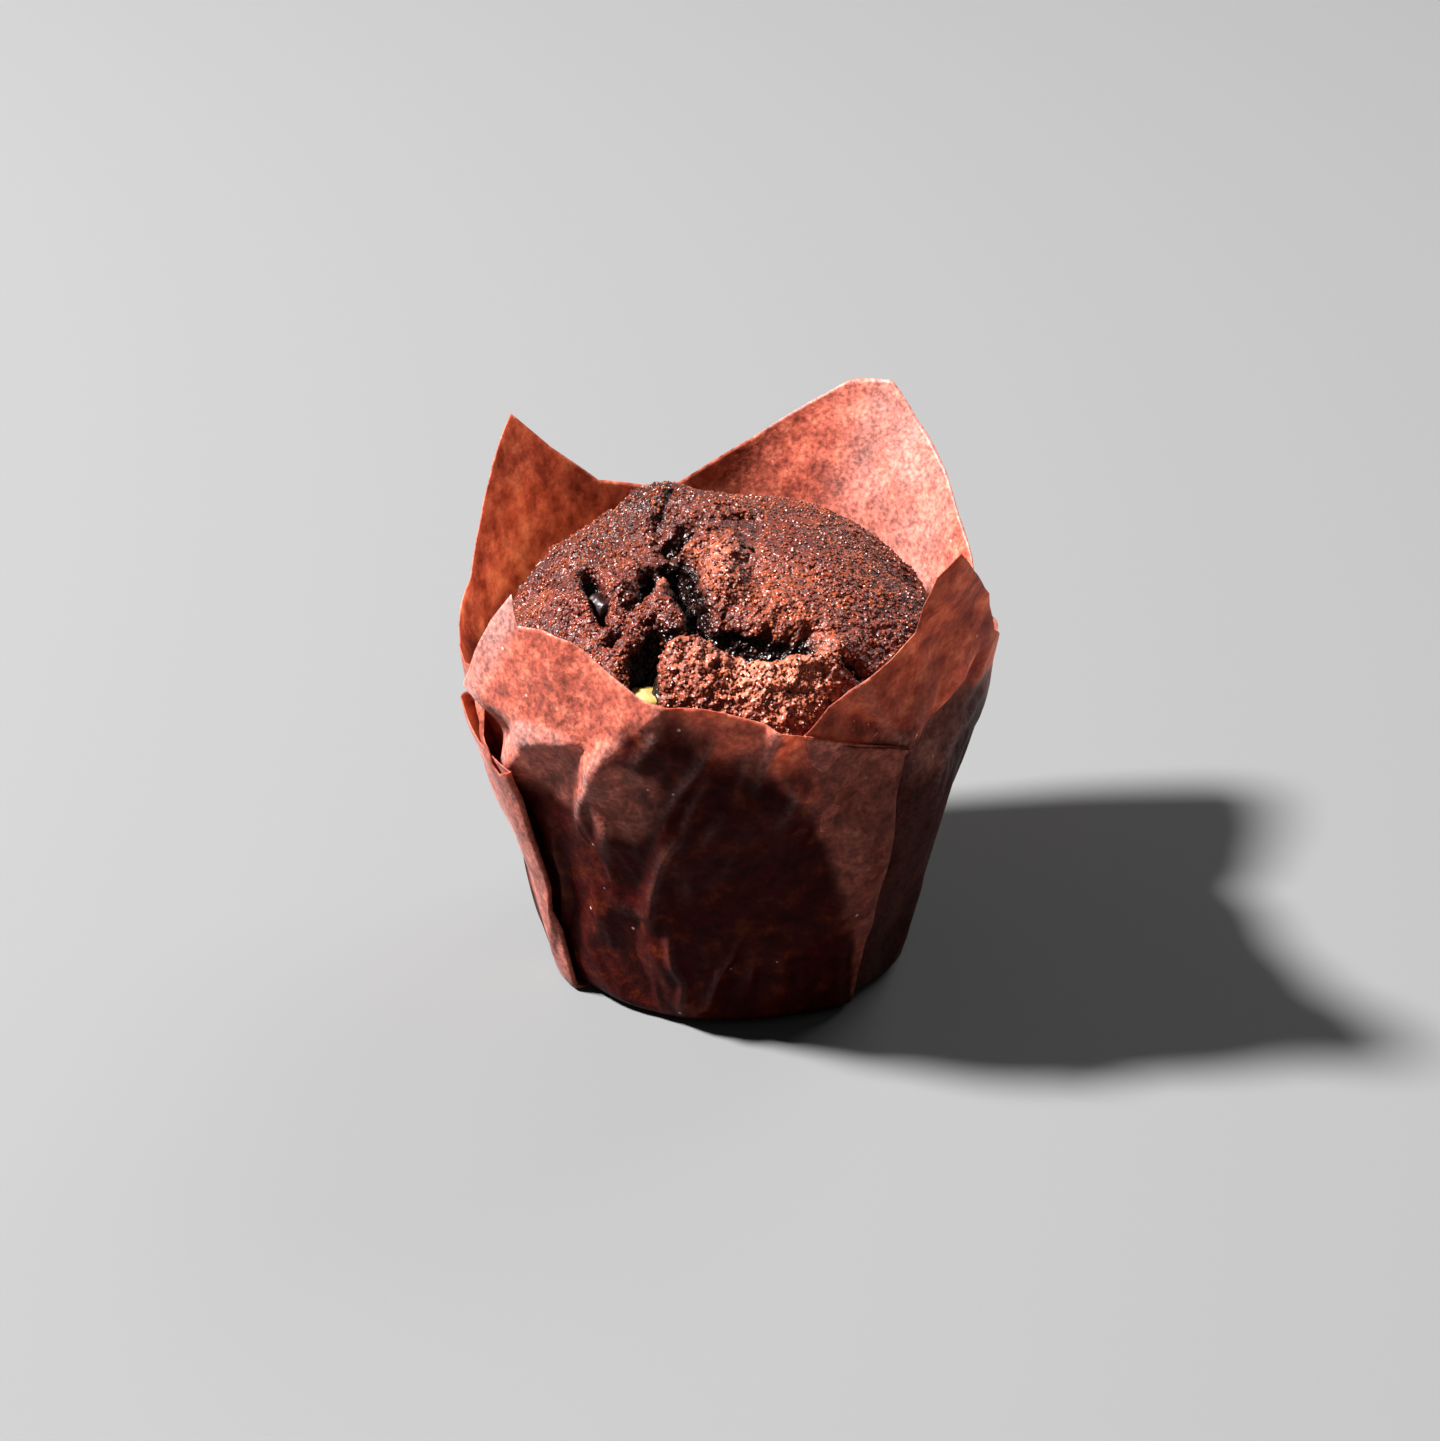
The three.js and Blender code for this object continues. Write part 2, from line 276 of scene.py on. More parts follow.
# The back petal curls outwards at its tip, and the left petal's torn outer end leans in.
TIP_CURL = 3.0
END_LEAN = 1.9
push += TIP_CURL * smooth_step(height, 48, 66) * back * smooth_step(theta, 446, 420)
push -= END_LEAN * smooth_step(height, 35, 44) * left * smooth_step(theta, 548, 560)

# Crumples. Soft buckles everywhere, straight sharp creases where the paper was handled, as
# (direction, spacing, depth), and the long upright wrinkles of the part that the batter pushed
# against the mould, strongest on the front petal. Distances round the wall are taken at its middle
# radius.
handling = [(20, 17, 0.22), (75, 23, 0.3), (118, 14, 0.18), (155, 19, 0.22), (50, 11, 0.12)]
MIDDLE_RADIUS = 33.0
buckle = field(flat, 22, 1) * 1.3
warp = field(flat, 15, 11) * 4.5 + field(flat, 6, 12) * 0.9
rising = height + field(flat, 12, 13) * 7
loose = np.where(front, 1.0, 0.3)


def wall_noise(across, along, seed):
    return field(np.stack((across, along, np.zeros(len(across))), axis=1), 1.0, seed)


def crumple(girth):
    """Depth of the straight creases and of the wrinkles, at a distance round the wall."""
    creases = np.zeros(len(flat))
    for k, (direction, spacing, depth) in enumerate(handling):
        slant = math.radians(direction)
        across = girth * math.cos(slant) + height * math.sin(slant)
        wave = across / spacing + field(flat, 30, 3 + k) * 0.8
        creases += (np.abs((wave % 1) - 0.5) * 4 - 1) * depth
    bent = girth + warp
    upright = wall_noise(bent / 7.4, rising / 17.0, 4.2)
    fine = wall_noise(bent / 3.4, height / 9.0, 9.1)
    crossing = wall_noise(bent / 4.4, height / 15.0, 6.7)
    ridges = np.exp(-(crossing * 4.2) ** 2) * loose
    wrinkles = (upright * (1.6 + 0.3 * loose) + ridges * 0.35
                - np.sqrt(fine ** 2 + 0.006) * 0.42 * loose - 0.1)
    return creases, wrinkles


# The last petal's end lies over the first petal, and takes on its crumples by then.
round_again = smooth_step(theta, 470, 520)
first_round = crumple(np.radians(theta) * MIDDLE_RADIUS)
second_round = crumple(np.radians(theta - 360) * MIDDLE_RADIUS)
flat_creases, folds = (mix(a, b, round_again) for a, b in zip(first_round, second_round))
baked_top = 47 + 5 * front
baked = smooth_step(height, baked_top, baked_top - 12) * smooth_step(height, 0, 6) * (1 - on_facet)
push += ((buckle * smooth_step(height, 1, 14) + flat_creases * smooth_step(height, 12, 42))
         * (1 - on_facet * 0.8) * (1 - on_ledge * 0.6))
push += folds * baked * (1 - 0.85 * smooth_step(theta, 540, 556)) * (1 - 0.85 * on_ledge)

# Creases from handling and from the mould, each from its lower to its upper end as (angle, height,
# rise), then how wide its left and its right flank are. Where it falls it is a valley.
hand_creases = [
    ([(230.5, 27, 0), (233, 32, 0.9), (239, 38.5, 1.5), (241, 42, 1.6), (246, 46, 1.4),
      (249.5, 48.5, 0.5)], 2.2, 14.0),
    ([(249, 40, 0), (252, 45, 0.6), (255.5, 48.5, 0.9), (257, 54, 0.9)], 9.0, 2.4),
    ([(255, 33, 0), (256.5, 37, 0.8), (258.5, 39.5, 1.1), (262.5, 43.5, 0.9), (268, 50, 0)], 1.9, 1.6),
    ([(259, 32, 0), (262, 38, 0.7), (266, 43, 0)], 0.9, 2.5),
    ([(275, 40, 0), (277.5, 46.5, 0.8), (279.5, 51.5, 1.2)], 1.2, 2.6),
    ([(271, 38, 0), (273, 44, 0.6), (276, 50, 0)], 1.0, 2.4),
    ([(280, 34, 0), (283.5, 40, 0.9), (281, 44, 0)], 1.0, 2.4),
    ([(291, 40, 0), (284, 44, -0.6), (279, 47, 0)], 2.0, 2.0),
    ([(309, 43.5, 0.8), (300.5, 50.5, 0.9), (295, 56.5, 0.4)], 1.4, 3.6),
    ([(308, 46, -0.6), (296.5, 49.5, -0.8), (290, 52, -0.3)], 1.0, 1.8),
    ([(311.5, 45, 0.8), (312, 50, 0.8), (310.5, 59.5, 0)], 2.4, 2.4),
    ([(315.5, 42, -1.0), (322.5, 45, -1.6), (330, 48, -1.6), (330, 55, 0)], 3.2, 3.2),
    ([(323.5, 33, 0.2), (323.5, 37.5, 0.9), (327.5, 40.5, 1.0), (343, 42.5, 0.5)], 1.3, 3.5),
    ([(329, 22, 0), (326.5, 30.5, 0.7), (327, 38, 0)], 1.1, 2.6),
    ([(305, 2, 0.9), (303, 10, 0.6), (300, 17, 0)], 1.6, 1.6),
    ([(251, 15.5, 0), (251, 19, 0.7), (252.5, 23.5, 1.5), (255, 28, 1.5), (257.5, 31.5, 1.0),
      (261.5, 33.5, 0)], 2.8, 1.2),
    ([(256, 2, 0.3), (257.5, 5, 0.9), (258.5, 8.5, 1.1), (256, 11.5, 1.0), (255, 15, 0.8),
      (255, 19, 0)], 1.5, 1.3),
    ([(259.5, 2, 0.3), (264, 4, 1.0), (265.5, 7, 1.3), (267.5, 10.5, 1.4), (271, 14, 1.0),
      (274.5, 18.5, 0)], 1.7, 1.4),
    ([(276, 5.5, 0), (276, 9.5, 0.9), (277, 14, 0)], 1.7, 1.6),
    ([(210.5, 4.5, 0.3), (216.5, 11.5, 0.8), (220.5, 17, 1.1), (221.5, 23, 0.9), (222, 27, 0)],
     1.6, 1.5),
    ([(239.5, 23.5, 0.4), (241.5, 29, 1.1), (243, 34, 0.2)], 3.0, 1.3),
    ([(240, 20, 0.3), (243, 18.5, 0.8), (250, 19, 0.3)], 3.0, 1.3),
    ([(250.5, 33.5, 0), (253, 37, 0.7), (255, 38, 0.4)], 1.4, 1.4),
    ([(264, 31.5, 0), (266.5, 35, 0.9), (269, 37, 0.3)], 1.6, 1.5),
    ([(265.5, 24, 0), (269, 28, 0.8), (272, 31, 0)], 1.7, 1.6),
    ([(259.5, 21.5, 0), (260.5, 25, 0.8), (261.5, 29.5, 0)], 2.4, 1.6),
    ([(290.5, 6, 0), (293.5, 7.5, 0.4), (300.5, 7.5, 0)], 0.8, 0.8),
]
girth = np.radians(np.where(theta > 500, theta - 360, theta)) * MIDDLE_RADIUS
here = np.stack((girth, height), axis=1)
crest = np.zeros(len(flat))
for path, steep, gentle in hand_creases:
    nearest = np.full(len(flat), 1e9)
    ridge = np.zeros(len(flat))
    flank = np.zeros(len(flat), dtype=bool)
    for (angle_a, low_a, rise_a), (angle_b, low_b, rise_b) in zip(path, path[1:]):
        start = np.array((math.radians(angle_a) * MIDDLE_RADIUS, low_a))
        run = np.array((math.radians(angle_b) * MIDDLE_RADIUS, low_b)) - start
        along = np.clip((here - start) @ run / (run @ run), 0, 1)
        away = here - start - along[:, None] * run
        distance = np.linalg.norm(away, axis=1)
        left_of = away @ np.array((-run[1], run[0])) > 0
        width = np.where(left_of, steep, gentle)
        shape = mix(rise_a, rise_b, along) * np.clip(1 - distance / width, 0, 1)
        ridge = np.where(distance < nearest, shape, ridge)
        flank = np.where(distance < nearest, left_of, flank)
        nearest = np.minimum(nearest, distance)
    push += ridge
    fading = np.clip(1.2 - nearest / np.where(flank, 1.4, 0.5), 0, 1)
    crest = np.maximum(crest, np.clip(ridge, 0, 2) * fading)

# The paper never presses into the crumb that fills it. Over the crumb it is free to lean in.
DEEPEST_DENT = 0.5
push = np.maximum(push, -DEEPEST_DENT - 9 * smooth_step(height, 42, 46))
around = np.radians(theta)
outwards = np.stack((np.cos(around), np.sin(around), np.zeros(len(around))), axis=1)
flat += outwards * push[:, None]

paper_faces = []
count = len(columns)
for c in range(count):
    d = (c + 1) % count
    for r in range(rows - 1):
        paper_faces.append((c * rows + r, d * rows + r, d * rows + r + 1, c * rows + r + 1))
wrap = make_object("tulip_wrap_paper", flat, paper_faces)
wrap.data.shade_smooth()
solid = wrap.modifiers.new("thickness", "SOLIDIFY")
solid.thickness = PAPER_THICKNESS * MM
solid.offset = 0


def node_tree(name):
    material = bpy.data.materials.new(name)
    material.use_nodes = True
    material.node_tree.nodes.clear()
    return material, material.node_tree


def add(tree, kind, links=None, **settings):
    """Adds a node, sets its properties and sockets, and links its inputs."""
    node = tree.nodes.new(kind)
    for key, value in settings.items():
        if key == "inputs":
            for socket, number in value.items():
                node.inputs[socket].default_value = number
        elif key == "stops":
            ramp = node.color_ramp
            while len(ramp.elements) < len(value):
                ramp.elements.new(0.5)
            for element, (place, color) in zip(ramp.elements, value):
                element.position = place
                element.color = color
        else:
            setattr(node, key, value)
    for socket, source in (links or {}).items():
        tree.links.new(source, node.inputs[socket])
    return node


def linear(hex_color, alpha=1.0):
    """An sRGB hex colour as the linear RGBA that a shader takes."""
    parts = [int(hex_color[i:i + 2], 16) / 255 for i in (1, 3, 5)]
    return tuple(p / 12.92 if p <= 0.04045 else ((p + 0.055) / 1.055) ** 2.4 for p in parts) + (alpha,)


def grey(value):
    return (value, value, value, 1.0)


def add_mark(mesh, name, values):
    """Stores one number per point, for a material or a node group to read."""
    mark = mesh.attributes.new(name, "FLOAT", "POINT")
    mark.data.foreach_set("value", np.clip(values, 0, 1).astype(np.float32))


# Brown greaseproof paper, calendered and waxy: satin, with cloudy fibres that show where light
# comes through, and dark where butter from the crumb has soaked in; that darkening also paints
# shade on the lower front and the right petal. Paler where it was bent, which also paints
# highlights and sheen. The paper here is a shell with two faces, so light from behind passes two
# coats of it.
paper, tree = node_tree("greaseproof_paper_brown_satin")
place = add(tree, "ShaderNodeTexCoord").outputs["Object"]
cloud = add(tree, "ShaderNodeTexNoise", {"Vector": place},
            inputs={"Scale": 330.0, "Detail": 7.0, "Roughness": 0.66})
fibre = add(tree, "ShaderNodeTexNoise", {"Vector": place},
            inputs={"Scale": 1500.0, "Detail": 3.0, "Roughness": 0.6})
soaked = add(tree, "ShaderNodeAttribute", attribute_name="soaked")
tone = add(tree, "ShaderNodeValToRGB", {"Fac": cloud.outputs["Fac"]}, stops=(
    (0.32, linear("#803828")), (0.5, linear("#b25643")), (0.68, linear("#d97e66"))))
speckle = add(tree, "ShaderNodeValToRGB", {"Fac": fibre.outputs["Fac"]}, stops=(
    (0.36, grey(0.52)), (0.5, grey(1.0)), (0.64, grey(1.42))))
toned = add(tree, "ShaderNodeMix", {6: tone.outputs[0], 7: speckle.outputs[0]}, data_type="RGBA",
            blend_type="MULTIPLY", inputs={0: 1.0})
# The soaked tone: darkened paper, which also serves as painted shade.
stain_and_shade = add(tree, "ShaderNodeValToRGB", {"Fac": cloud.outputs["Fac"]}, stops=(
    (0.35, linear("#2c0a09")), (0.55, linear("#481410")), (0.7, linear("#6b2d12"))))
dark = add(tree, "ShaderNodeMix",
           {0: soaked.outputs["Fac"], 6: toned.outputs[2], 7: stain_and_shade.outputs[0]}, data_type="RGBA")
# Paler paper, partly real wear on the crests and partly painted highlight and sheen.
wear_and_sheen_in = add(tree, "ShaderNodeAttribute", attribute_name="worn")
wear_and_sheen_tone = add(tree, "ShaderNodeMix", {6: speckle.outputs[0]}, data_type="RGBA", blend_type="MULTIPLY",
                inputs={0: 1.0, 7: linear("#bd9088")})
pale = add(tree, "ShaderNodeMix",
           {0: wear_and_sheen_in.outputs["Fac"], 6: dark.outputs[2], 7: wear_and_sheen_tone.outputs[2]}, data_type="RGBA")
fleck_place = add(tree, "ShaderNodeTexVoronoi", {"Vector": place}, inputs={"Scale": 210.0})
fleck = add(tree, "ShaderNodeValToRGB", {"Fac": fleck_place.outputs["Distance"]}, stops=(
    (0.03, grey(1.0)), (0.055, grey(0.0))))
flecked = add(tree, "ShaderNodeMix", {0: fleck.outputs[0], 6: pale.outputs[2]}, data_type="RGBA",
              inputs={7: linear("#e8cfc4")})
dents = add(tree, "ShaderNodeTexNoise", {"Vector": place}, inputs={"Scale": 800.0, "Detail": 4.0})
bump = add(tree, "ShaderNodeBump", {"Height": dents.outputs["Fac"]},
           inputs={"Strength": 0.4, "Distance": 0.0005})
dry_body = add(tree, "ShaderNodeBsdfPrincipled",
               {"Base Color": flecked.outputs[2], "Normal": bump.outputs[0]},
               inputs={"Roughness": 0.44, "IOR": 1.5, "Specular IOR Level": 0.36, "Sheen Weight": 0.1})
soak_and_shade_body = add(tree, "ShaderNodeBsdfPrincipled",
                  {"Base Color": flecked.outputs[2], "Normal": bump.outputs[0]},
                  inputs={"Roughness": 0.34, "IOR": 1.5, "Specular IOR Level": 0.04})
body = add(tree, "ShaderNodeMixShader",
           {0: soaked.outputs["Fac"], 1: dry_body.outputs[0], 2: soak_and_shade_body.outputs[0]})
glow_tone = add(tree, "ShaderNodeValToRGB", {"Fac": cloud.outputs["Fac"]}, stops=(
    (0.34, linear("#b86a48")), (0.5, linear("#e19371")), (0.66, linear("#f7b48c"))))
dim_glow = add(tree, "ShaderNodeMix", {0: soaked.outputs["Fac"], 6: glow_tone.outputs[0]},
               data_type="RGBA", inputs={7: linear("#5a2010")})
glow = add(tree, "ShaderNodeBsdfTranslucent", {"Color": dim_glow.outputs[2]})
both = add(tree, "ShaderNodeMixShader", {1: body.outputs[0], 2: glow.outputs[0]}, inputs={0: 0.42})
add(tree, "ShaderNodeOutputMaterial", {"Surface": both.outputs[0]})
wrap.data.materials.append(paper)
blot = field(flat, 9, 21, 3) * 5.5
wet_and_shade = smooth_step(sheet_soak_and_shade.reshape(-1) - height + blot, -5.0, 5.0)
# Patches where the darkening is raised, partly butter and partly painted shade: the right petal, the
# back petal's left part, right of the front facet with a spot there, the left petal's end.
greasy_and_shade = (0.5 * right + 0.35 * back * smooth_step(theta, 430, 446)
          + 0.42 * front * smooth_step(height, 53, 42) * smooth_step(theta, 236, 262)
          + 0.3 * left * smooth_step(theta, 542, 556))
spot = np.hypot(girth - math.radians(253) * MIDDLE_RADIUS, height - 46.5)
greasy_and_shade += 0.85 * front * smooth_step(spot, 5.5, 2.0)
wet_and_shade = np.maximum(wet_and_shade, greasy_and_shade * (1 + field(flat, 6, 22, 2) * 0.5))
add_mark(wrap.data, "soaked", wet_and_shade)
# Paper that has been bent turns paler on the crests, and the same paleness paints the sheen along
# them. On the front petal's free corner, under its crease, on part of the right petal and where the
# back petal curls, the paleness is a painted highlight.
corner_angles, corner_heights = zip(*petal_edges["front"][:6])
corner = np.interp(height, corner_heights, corner_angles)
worn = 0.28 * crest * (1 + 0.8 * right) * mix(0.25, 1.0, smooth_step(height, 26, 36))
worn += 0.75 * front * smooth_step(theta - corner, 9, 3) * smooth_step(height, 40, 44)
worn += (0.6 * on_ledge * smooth_step(under, ledge + 0.5, ledge - 0.1)
         * smooth_step(theta, 209, 215) * smooth_step(theta, 239, 232))
worn += 0.12 * right * smooth_step(theta, 304, 316) * smooth_step(height, 54, 46)
worn += 0.5 * back * smooth_step(theta, 436, 416) * smooth_step(theta, 384, 404)
worn *= np.clip(0.85 + field(flat, 5, 23, 2) * 0.5, 0, 1)
add_mark(wrap.data, "worn", worn)

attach(wrap, "root")
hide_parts("tulip_wrap")


# ---- The crumb ----
# Chocolate muffin batter, baked in the wrap. The crown rose as a dome, set, and tore along cracks
# that left smooth plates and rough lumps between them.
CRUMB_FLOOR = 0.75
CRUMB_GAP = 1.65
CROWN_EDGE = 44.5
CROWN_CENTRE = (0.0, -1.2)
CROWN_RADIUS = 32.8
CROWN_RISE = 16.0
CROWN_ROUNDNESS = 1.9
CROWN_CELLS = 300
VOXEL = 0.32
CUT_HEIGHT = 42.5
SKIRT_HEIGHT = 40.0
# Rings of the wall and of the floor, as (height, how far it draws in from the wall).
WALL_RINGS = ((30.0, 0), (16.0, 0), (4.0, 0), (CRUMB_FLOOR + 0.9, 0), (CRUMB_FLOOR, 1.2),
              (CRUMB_FLOOR, 12.0))

# Lumps as (x, y, radius, rise); cracks as a path in plan, half width, depth and raised lip.
lumps = [
    (12, -7, 13, 2.8), (12, 12, 9, 1.0), (27, 7, 12, -7.0), (-24, 5, 9, -8.0), (-10.5, 10, 7, 4.2),
    (-2, 4, 5, 2.6), (-4, -1.5, 3, 1.4), (0, -8, 3.5, 2.4), (-1, -14.5, 3, 2.6),
    (-19.5, -12, 6.5, 3.6), (-13.5, -15, 2, 1.6), (-9, -19.5, 3, 2.2), (-8.5, -14, 2, 1.2),
    (-14, -24.5, 3, 1.6), (-4.5, -27.5, 4.5, 2.8), (4.5, -29, 3.5, 2.0), (9, -28.5, 3.5, 2.6),
    (13.5, -27.5, 3, 2.6), (10, -31, 5, 2.0),
]
front_crack = [(-0.5, -23), (2.5, -23.5), (5, -24), (9, -25)]
cracks = [
    ([(-11, -34), (-10.5, -26), (-9, -23.5)], 1.3, 9.0, 0.3),
    ([(-9, -23.5), (-5.5, -23.5), (-3, -23)], 1.1, 4.0, 0.2),
    ([(-7.5, -8), (-6, -12.5), (-5, -17), (-3, -22), (-0.5, -24)], 1.7, 6.0, 0.4),
    (front_crack, 2.8, 4.8, 0.9),
    ([(9, -25), (13, -25.5), (17.5, -26.5)], 1.0, 4.0, 0.5),
    ([(-22, 8), (-17, 1.5), (-12.5, -3.5), (-9, -7.5)], 1.6, 1.3, 0.2),
    ([(-7, 10), (-9, 4), (-9, -2), (-8, -8)], 0.9, 1.1, 0.2),
    ([(2, 0), (2.5, -8), (3, -14)], 2.0, 1.0, 0.1),
    ([(-17.5, -11.5), (-17, -14.5), (-15.5, -18)], 0.95, 4.6, 0.6),
    ([(-10, -10), (-10.5, -13.5), (-11.5, -17)], 0.85, 4.0, 0.3),
    ([(-7, -4.5), (-5.5, -3.5)], 1.3, 3.2, 0.4),
    ([(-14.5, -22), (-13.5, -20.5)], 1.1, 2.6, 0.3),
]
# How far the crust of the right plate hangs over the front crack.
LIP_OVERHANG = 1.1
# Crust that rose and set smooth, as (x, y, radius); the rest is torn and knobby.
smooth_crust = [(13, -8, 13), (-20.5, -14, 6.5), (-20, -5, 6), (8, 14, 14)]


def path_distance(points, path):
    nearest = np.full(len(points), 1e9)
    for (ax, ay), (bx, by) in zip(path, path[1:]):
        start, run = np.array((ax, ay)), np.array((bx - ax, by - ay))
        here = points - start
        along = np.clip(here @ run / (run @ run), 0, 1)
        nearest = np.minimum(nearest, np.linalg.norm(here - along[:, None] * run, axis=1))
    return nearest


def crown_shape(plan):
    """Height of the crust over each plan point, and how deep into a crack it lies."""
    at = np.column_stack((plan, np.zeros(len(plan))))
    ragged = np.column_stack((field(at, 4.5, 31) + field(at, 1.6, 33) * 0.35,
                              field(at, 4.5, 32) + field(at, 1.6, 34) * 0.35)) * 1.2
    warped = plan + ragged
    reach = np.clip(np.linalg.norm(plan - CROWN_CENTRE, axis=1) / CROWN_RADIUS, 0, 1)
    rise = CROWN_RISE * np.sqrt(1 - reach ** CROWN_ROUNDNESS)
    for x, y, radius, lift in lumps:
        rise += lift * np.exp(-((plan[:, 0] - x) ** 2 + (plan[:, 1] - y) ** 2) / radius ** 2)
    inside = smooth_step(reach, 1.0, 0.93)
    deep = np.zeros(len(plan))
    for path, width, depth, lip in cracks:
        away = path_distance(warped, path) / width
        trench = 1 / (1 + away ** 5)
        rise += lip * np.exp(-((away - 2.1) / 0.9) ** 2) * inside
        deep = np.maximum(deep, trench * depth)
    return CROWN_EDGE + rise - deep * smooth_step(reach, 1.02, 0.9), deep


def evaluated_mesh(thing):
    """A plain mesh of an object with its modifiers applied."""
    graph = bpy.context.evaluated_depsgraph_get()
    return bpy.data.meshes.new_from_object(thing.evaluated_get(graph))


# The crown's top is a round sheet of cells, laid out as a square and drawn out to a disc.
side = np.linspace(-1, 1, CROWN_CELLS + 1)
grid_a, grid_b = np.meshgrid(side, side, indexing="ij")
wider = np.abs(grid_a) > np.abs(grid_b)
reach = np.where(wider, grid_a, grid_b)
with np.errstate(divide="ignore", invalid="ignore"):
    turned = np.where(wider, math.pi / 4 * grid_b / grid_a, math.pi / 2 - math.pi / 4 * grid_a / grid_b)
turned = np.nan_to_num(turned)
# Cells crowd towards the rim, where the dome is steep.
RIM_CROWDING = 0.55
spread = mix(reach, np.sin(reach * math.pi / 2), RIM_CROWDING)
plan = np.column_stack((
    (spread * np.cos(turned)).ravel(), (spread * np.sin(turned)).ravel())) * CROWN_RADIUS + CROWN_CENTRE
crust, deep = crown_shape(plan)
top_points = np.column_stack((plan, crust))
behind_crack = plan[:, 1] > np.interp(plan[:, 0], *zip(*front_crack))
lip = np.exp(-((path_distance(plan, front_crack) - 3.6) / 1.2) ** 2)
top_points[:, 1] -= LIP_OVERHANG * lip * behind_crack * (1 + field(top_points, 3.0, 35) * 0.8)
cells = CROWN_CELLS + 1
faces = []
for i in range(CROWN_CELLS):
    for j in range(CROWN_CELLS):
        a = i * cells + j
        faces.append((a, a + cells, a + cells + 1, a + 1))
rim = ([i * cells for i in range(CROWN_CELLS)]
       + [CROWN_CELLS * cells + j for j in range(CROWN_CELLS)]
       + [i * cells + CROWN_CELLS for i in range(CROWN_CELLS, 0, -1)]
       + list(range(CROWN_CELLS, 0, -1)))
skirt_start = len(top_points)
skirt = top_points[rim].copy()
skirt[:, 2] = SKIRT_HEIGHT
squeeze = (BASE_RADIUS + SKIRT_HEIGHT * WALL_SLOPE - CRUMB_GAP) / CROWN_RADIUS
skirt[:, :2] = (skirt[:, :2] - CROWN_CENTRE) * squeeze
blank_points = np.vstack((top_points, skirt, [(0, 0, SKIRT_HEIGHT)]))
centre = len(blank_points) - 1
for k in range(len(rim)):
    m = (k + 1) % len(rim)
    faces.append((rim[m], rim[k], skirt_start + k, skirt_start + m))
    faces.append((skirt_start + m, skirt_start + k, centre))
blank = make_object("crumb_blank", blank_points, faces)
remesh = blank.modifiers.new("even_cells", "REMESH")
remesh.mode = "VOXEL"
remesh.voxel_size = VOXEL * MM
dense = evaluated_mesh(blank)
bpy.data.objects.remove(blank)

work = bmesh.new()
work.from_mesh(dense)
bmesh.ops.recalc_face_normals(work, faces=work.faces)
bmesh.ops.bisect_plane(work, geom=work.verts[:] + work.edges[:] + work.faces[:],
                       plane_co=(0, 0, CUT_HEIGHT * MM), plane_no=(0, 0, 1), clear_inner=True)
# The wall and the floor hang from the cut edge in rings.
for ring_height, drawn_in in WALL_RINGS:
    edge = [e for e in work.edges if e.is_boundary]
    new = [v for v in bmesh.ops.extrude_edge_only(work, edges=edge)["geom"]
           if isinstance(v, bmesh.types.BMVert)]
    ring_radius = BASE_RADIUS + ring_height * WALL_SLOPE - CRUMB_GAP - drawn_in
    for v in new:
        flat_length = math.hypot(v.co.x, v.co.y)
        v.co.x *= ring_radius * MM / flat_length
        v.co.y *= ring_radius * MM / flat_length
        v.co.z = ring_height * MM
middle = work.verts.new((0, 0, CRUMB_FLOOR * MM))
for e in [e for e in work.edges if e.is_boundary]:
    work.faces.new((e.verts[0], e.verts[1], middle))
bmesh.ops.recalc_face_normals(work, faces=work.faces)
work.to_mesh(dense)
work.free()
crumb = bpy.data.objects.new("muffin_crumb_baked", dense)
bpy.context.collection.objects.link(crumb)
dense.name = "muffin_crumb_baked"
dense.shade_smooth()

# Fine relief, pushed along the surface so that crack walls get it too: knobs of a few
# millimetres, grains, and burst bubbles.
total = len(dense.vertices)
spots = np.empty(total * 3)
dense.vertices.foreach_get("co", spots)
spots = spots.reshape(-1, 3) / MM
normals = np.empty(total * 3)
dense.vertices.foreach_get("normal", normals)
normals = normals.reshape(-1, 3)
crust, deep = crown_shape(spots[:, :2])
below = np.clip(crust + deep - spots[:, 2], 0, 8)
on_crown = smooth_step(spots[:, 2], CUT_HEIGHT, CUT_HEIGHT + 2)
rough = np.ones(total)
for x, y, radius in smooth_crust:
    near = ((spots[:, 0] - x) ** 2 + (spots[:, 1] - y) ** 2) / radius ** 2
    rough = np.minimum(rough, 1 - 0.88 * np.exp(-near ** 2))
rough = np.clip(rough + below / 2.5, 0, 1)
knobs = field(spots, 4.0, 41) * 0.75 + (1 - np.abs(field(spots, 2.2, 42)) * 2.4) * 0.4
grains = field(spots, 1.1, 43) * 0.3 + field(spots, 0.62, 44) * 0.22
bubbles = smooth_step(field(spots, 1.7, 45), 0.5, 0.62)
relief = (knobs * rough * 0.75 + grains * (0.35 + 0.8 * rough) - bubbles * 0.4) * on_crown
spots += normals * relief[:, None]
dense.vertices.foreach_set("co", (spots * MM).ravel())
# How far under the crust each point lies; the crumb's colour darkens with it, painted shade in the
# cracks.
add_mark(dense, "depth", below / 5)
# The crust at the back on the left is darker.
scorch = np.exp(-((spots[:, 0] + 12) ** 2 + (spots[:, 1] - 10) ** 2) / 11 ** 2)
add_mark(dense, "scorch", scorch)
# Where the crust tore open, the crumb is paler: at the two lumps in front, and on the knobs and
# the ridge between the lobes. The paleness also paints light: on the front lumps where they turn
# from the key, and a highlight on the ridge and a knob. Each patch is (x, y, radius, how pale).
torn_and_highlight_patches = [(9.5, -29.5, 6.0, 0.95), (2.5, -29.5, 4.0, 0.95), (-5.0, -28.5, 4.0, 0.45),
                (-2.0, -15.0, 2.6, 0.5), (-0.5, -10.5, 3.0, 0.55), (-8.4, -14.0, 1.4, 0.8)]
torn = sum(share * np.exp(-((spots[:, 0] - x) ** 2 + (spots[:, 1] - y) ** 2) / radius ** 2)
           for x, y, radius, share in torn_and_highlight_patches)
add_mark(dense, "torn", torn)
dense.update()

